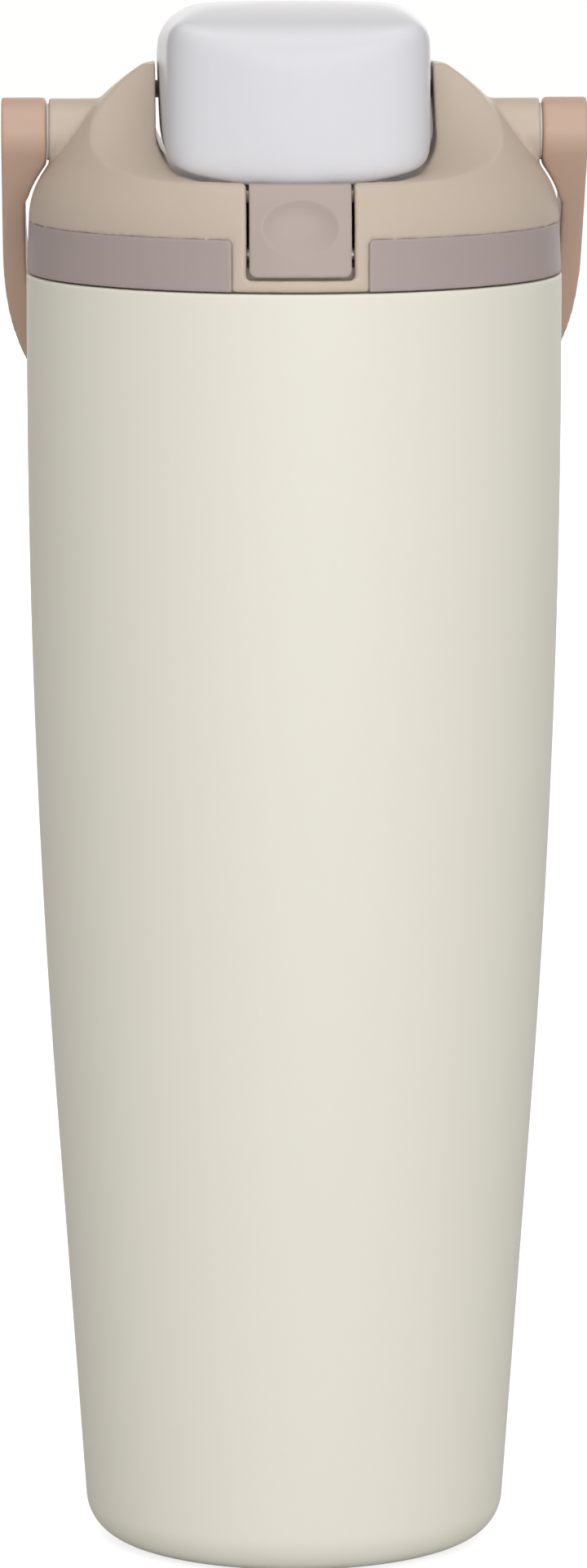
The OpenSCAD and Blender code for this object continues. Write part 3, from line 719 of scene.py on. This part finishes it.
def makeDustAndHollowShade():
    # mask for a dust tint and painted shade in corners, creases and gaps: how shut the ambient occlusion
    # finds the point, mottled by noise
    group, inp, out = newGroup("dustAndHollowShade", [
        ("Reach", "NodeSocketFloat", 0.004), ("Amount", "NodeSocketFloat", 0.2),
    ], [("Mask", "NodeSocketFloat")])
    hollow = node(group, "ShaderNodeAmbientOcclusion", {"samples": 4})
    link(group, inp.outputs["Reach"], hollow.inputs["Distance"])
    shut = mathNode(group, "SUBTRACT", 1.0, hollow.outputs["AO"])
    coord = node(group, "ShaderNodeTexCoord")
    cloud = node(group, "ShaderNodeTexNoise", None, Scale=260.0, Detail=4.0, Roughness=0.7)
    link(group, coord.outputs["Object"], cloud.inputs["Vector"])
    link(group, mathNode(group, "MULTIPLY", mathNode(group, "MULTIPLY", shut, cloud.outputs["Fac"]),
                         inp.outputs["Amount"]), out.inputs["Mask"])
    return group


fineGrain = makeFineGrain()
toneDrift = makeToneDrift()
paintedEdgeHighlight = makePaintedEdgeHighlight()
brushedLines = makeBrushedLines()
dustAndHollowShade = makeDustAndHollowShade()


def place(tree, group, **values):
    made = tree.nodes.new("ShaderNodeGroup")
    made.node_tree = group
    for key, value in values.items():
        made.inputs[key].default_value = value
    return made


def grainFinish(name, look):
    # painted metal or moulded plastic with a fine grain
    material = bpy.data.materials.new(name)
    material.use_nodes = True
    tree = material.node_tree
    shader = tree.nodes["Principled BSDF"]
    grain = place(tree, fineGrain, Size=look["grain"], Relief=look["relief"], Speckle=look["speckle"])
    tone = place(tree, toneDrift, Color=(*look["color"], 1), Deep=(*look["deep"], 1), Size=look["drift"],
                 Amount=look["driftAmount"], Specks=look["specks"])
    edgeHighlight = place(tree, paintedEdgeHighlight, Reach=look["edgeHighlightReach"], Amount=look["edgeHighlight"])
    dustAndShade = place(tree, dustAndHollowShade, Reach=look["dustAndShadeReach"], Amount=look["dustAndShade"])
    link(tree, grain.outputs["Tone"], tone.inputs["Tone"])
    # painted highlight: a lighter colour mixed in along every edge
    edgeHighlightColor = mixColors(tree, edgeHighlight.outputs["Mask"], tone.outputs["Color"], (*look["edgeHighlightColor"], 1))
    # painted shade and dust: a grey-brown tint mixed into the hollows, darker than the pale finishes
    dustyAndShaded = mixColors(tree, dustAndShade.outputs["Mask"], edgeHighlightColor, (*look["dustAndShadeColor"], 1))
    link(tree, dustyAndShaded, shader.inputs["Base Color"])
    rough = mathNode(tree, "MULTIPLY_ADD", grain.outputs["Tone"], look["roughVary"])
    tree.nodes[-1].inputs[2].default_value = look["rough"] - 0.5 * look["roughVary"]
    link(tree, rough, shader.inputs["Roughness"])
    bump = node(tree, "ShaderNodeBump", None, Strength=look["bump"], Distance=look["bumpDepth"])
    link(tree, grain.outputs["Height"], bump.inputs["Height"])
    link(tree, bump.outputs["Normal"], shader.inputs["Normal"])
    shader.inputs["Specular IOR Level"].default_value = look["specular"]
    shader.inputs["Subsurface Weight"].default_value = look.get("subsurface", 0.0)
    shader.inputs["Subsurface Radius"].default_value = (0.6, 0.4, 0.3)
    shader.inputs["Subsurface Scale"].default_value = 0.002
    shader.inputs["Sheen Weight"].default_value = look.get("sheen", 0.0)
    return material


def steelFinish(name, look):
    material = bpy.data.materials.new(name)
    material.use_nodes = True
    tree = material.node_tree
    shader = tree.nodes["Principled BSDF"]
    lines = place(tree, brushedLines, Pitch=look["pitch"], Drift=look["drift"])
    dustAndShade = place(tree, dustAndHollowShade, Reach=0.003, Amount=look["dustAndShade"])
    tone = mixColors(tree, lines.outputs["Tone"], (*look["color"], 1), (*look["deep"], 1))
    # painted shade and dust: a dark tint mixed into the hollows of the steel
    link(tree, mixColors(tree, dustAndShade.outputs["Mask"], tone, (0.25, 0.23, 0.2, 1)), shader.inputs["Base Color"])
    rough = mathNode(tree, "MULTIPLY_ADD", lines.outputs["Tone"], look["roughVary"])
    tree.nodes[-1].inputs[2].default_value = look["rough"] - 0.5 * look["roughVary"]
    link(tree, rough, shader.inputs["Roughness"])
    bump = node(tree, "ShaderNodeBump", None, Strength=look["bump"], Distance=0.00003)
    link(tree, lines.outputs["Height"], bump.inputs["Height"])
    link(tree, bump.outputs["Normal"], shader.inputs["Normal"])
    shader.inputs["Metallic"].default_value = 1.0
    return material


def dress(material, *targets):
    for obj in targets:
        obj.data.materials.clear()
        obj.data.materials.append(material)


plain = {  # values most moulded finishes start from
    "grain": 0.00045, "relief": 0.5, "speckle": 0.6, "drift": 0.02, "driftAmount": 0.25, "specks": 0.25,
    # the next line sets the painted edge highlight and the painted shade in hollows
    "edgeHighlightReach": 0.0006, "edgeHighlight": 0.25, "dustAndShadeReach": 0.003, "dustAndShade": 0.1, "dustAndShadeColor": (0.5, 0.46, 0.4),
    "rough": 0.5, "roughVary": 0.12, "bump": 0.16, "bumpDepth": 0.00006, "specular": 0.5,
}
# the lighter edge colour in each look below is a painted highlight
creamLook = dict(plain, color=(0.85, 0.825, 0.725), deep=(0.79, 0.76, 0.655), edgeHighlightColor=(0.88, 0.86, 0.78),
                 grain=0.0005, bump=0.24, rough=0.5, drift=0.06, specular=0.4)
lidLook = dict(plain, color=(0.60, 0.50, 0.41), deep=(0.54, 0.44, 0.35), edgeHighlightColor=(0.72, 0.63, 0.54),
               subsurface=0.08)
bandLook = dict(plain, color=(0.43, 0.355, 0.34), deep=(0.375, 0.305, 0.29), edgeHighlightColor=(0.50, 0.425, 0.41))
buttonLook = dict(plain, color=(0.47, 0.39, 0.35), deep=(0.42, 0.34, 0.305), edgeHighlightColor=(0.56, 0.475, 0.43))
capLook = dict(plain, color=(0.735, 0.735, 0.765), deep=(0.69, 0.685, 0.71), edgeHighlightColor=(0.80, 0.80, 0.82),
               grain=0.0004, bump=0.08, rough=0.42, subsurface=0.1)
handleLook = dict(plain, color=(0.585, 0.41, 0.315), deep=(0.525, 0.355, 0.265), edgeHighlightColor=(0.67, 0.50, 0.40))
innerLook = dict(plain, color=(0.60, 0.53, 0.46), deep=(0.54, 0.47, 0.40), edgeHighlightColor=(0.66, 0.59, 0.52),
                 grain=0.0008, bump=0.06, rough=0.4, subsurface=0.1)
siliconeLook = dict(plain, color=(0.70, 0.68, 0.64), deep=(0.62, 0.60, 0.55), edgeHighlightColor=(0.74, 0.72, 0.68),
                    grain=0.0003, bump=0.06, rough=0.6, subsurface=0.3, sheen=0.15)
glassLook = dict(plain, color=(0.05, 0.045, 0.04), deep=(0.03, 0.026, 0.022), edgeHighlightColor=(0.1, 0.09, 0.08),
                 bump=0.03, rough=0.12, dustAndShade=0.3)
linerLook = {"color": (0.66, 0.66, 0.66), "deep": (0.54, 0.54, 0.55), "pitch": 0.0003, "drift": 0.03,
             "rough": 0.34, "roughVary": 0.16, "bump": 0.25, "dustAndShade": 0.1}
pinLook = {"color": (0.62, 0.62, 0.64), "deep": (0.52, 0.52, 0.55), "pitch": 0.0001, "drift": 0.004,
           "rough": 0.38, "roughVary": 0.1, "bump": 0.1, "dustAndShade": 0.2}

dress(grainFinish("creamPowderCoat", creamLook), cupBody)
dress(grainFinish("lidPlastic", lidLook), lidDome)
dress(grainFinish("bandPlastic", bandLook), gripBand)
dress(grainFinish("buttonPlastic", buttonLook), thumbButton)
dress(grainFinish("capPlastic", capLook), flipCap)
dress(grainFinish("handlePlastic", handleLook), carryLoop)
dress(grainFinish("innerPlastic", innerLook), *[nodes[n] for n in ("lid_plug", "spout", "cap_liner")])
dress(grainFinish("foodSilicone", siliconeLook), *[nodes[n] for n in (
    "lid_gasket", "spout_seal", "vent_valve", "cap_seal", "pivot_washer_left", "pivot_washer_right")])
dress(grainFinish("sealGlass", glassLook), nodes["vacuum_seal_bead"])
dress(steelFinish("brushedSteel", linerLook), *[nodes[n] for n in (
    "inner_liner", "base_cover", "getter_pill")])
dress(steelFinish("groundSteel", pinLook), *[nodes[n] for n in (
    "cap_hinge_pin", "cap_spring", "button_pin", "button_spring", "handle_pin_left", "handle_pin_right")])
print("finishes made")

floorLook = {"size": 24.0, "drop": 0.0002, "albedo": 0.62, "glow": 0.74}
bm = bmesh.new()
bmesh.ops.create_grid(bm, x_segments=2, y_segments=2, size=floorLook["size"] / 2)
floor = toPiece("floor", bm)
floor.location.z = -floorLook["drop"]
floorPaint = bpy.data.materials.new("paleFloor")
floorPaint.use_nodes = True
tree = floorPaint.node_tree
tree.nodes.clear()
matte = node(tree, "ShaderNodeBsdfDiffuse", None, Color=(floorLook["albedo"],) * 3 + (1,))
glow = node(tree, "ShaderNodeEmission")
seen = node(tree, "ShaderNodeLightPath")
strength = mathNode(tree, "MULTIPLY", seen.outputs["Is Camera Ray"], floorLook["glow"])
link(tree, strength, glow.inputs["Strength"])
both = node(tree, "ShaderNodeAddShader")
link(tree, matte.outputs[0], both.inputs[0])
link(tree, glow.outputs[0], both.inputs[1])
link(tree, both.outputs[0], node(tree, "ShaderNodeOutputMaterial").inputs["Surface"])
floor.data.materials.append(floorPaint)

air = {"color": (0.43, 0.415, 0.398), "background": 1.0}
world = bpy.data.worlds.new("studio")
bpy.context.scene.world = world
world.use_nodes = True
tree = world.node_tree
sky = tree.nodes["Background"]
seen = node(tree, "ShaderNodeLightPath")
backdrop = (air["background"],) * 3 + (1,)
link(tree, mixColors(tree, seen.outputs["Is Camera Ray"], (*air["color"], 1), backdrop), sky.inputs["Color"])

aim = Vector((0, 0, 0.13))


def softLight(name, azimuth, elevation, distance, width, height, power, color=(1, 1, 1)):
    # azimuth is measured from the camera's side, towards the right
    a, e = math.radians(azimuth), math.radians(elevation)
    data = bpy.data.lights.new(name, "AREA")
    data.shape = "RECTANGLE"
    data.size = width
    data.size_y = height
    data.energy = power
    data.color = color
    lamp = bpy.data.objects.new(name, data)
    away = Vector((math.sin(a) * math.cos(e), -math.cos(a) * math.cos(e), math.sin(e)))
    lamp.location = aim + away * distance
    lamp.rotation_euler = (aim - lamp.location).to_track_quat("-Z", "Y").to_euler()
    lamp.visible_camera = False
    bpy.context.scene.collection.objects.link(lamp)
    return lamp


softLight("frontKey", 8, 2, 2.2, 1.7, 1.6, 34.0, (0.98, 1.0, 1.03))
softLight("topSoft", 0, 68, 2.0, 1.8, 1.4, 12.0)
softLight("rightRim", 155, 10, 2.0, 0.5, 1.8, 5.0)
softLight("backFill", 182, 12, 2.2, 1.6, 1.6, 14.0)

view = {"distance": 1.351, "height": 0.3314, "turn": 1.4, "down": 8.47, "lens": 183.7, "sensor": 36.0,
        "aside": 0.0042}
camera = bpy.data.cameras.new("camera")
camera.lens = view["lens"]
camera.sensor_width = view["sensor"]
camera.clip_start = 0.05
camera.clip_end = 60
cameraObject = bpy.data.objects.new("camera", camera)
turn = math.radians(view["turn"])
away = view["distance"]
cameraObject.location = (-away * math.sin(turn), -away * math.cos(turn), view["height"])
cameraObject.rotation_euler = (math.radians(90 - view["down"]), 0, -turn + math.radians(view["aside"]))
bpy.context.scene.collection.objects.link(cameraObject)
bpy.context.scene.camera = cameraObject
bpy.context.scene.view_settings.view_transform = "Standard"
bpy.context.scene.view_settings.look = "None"
print("stage set")
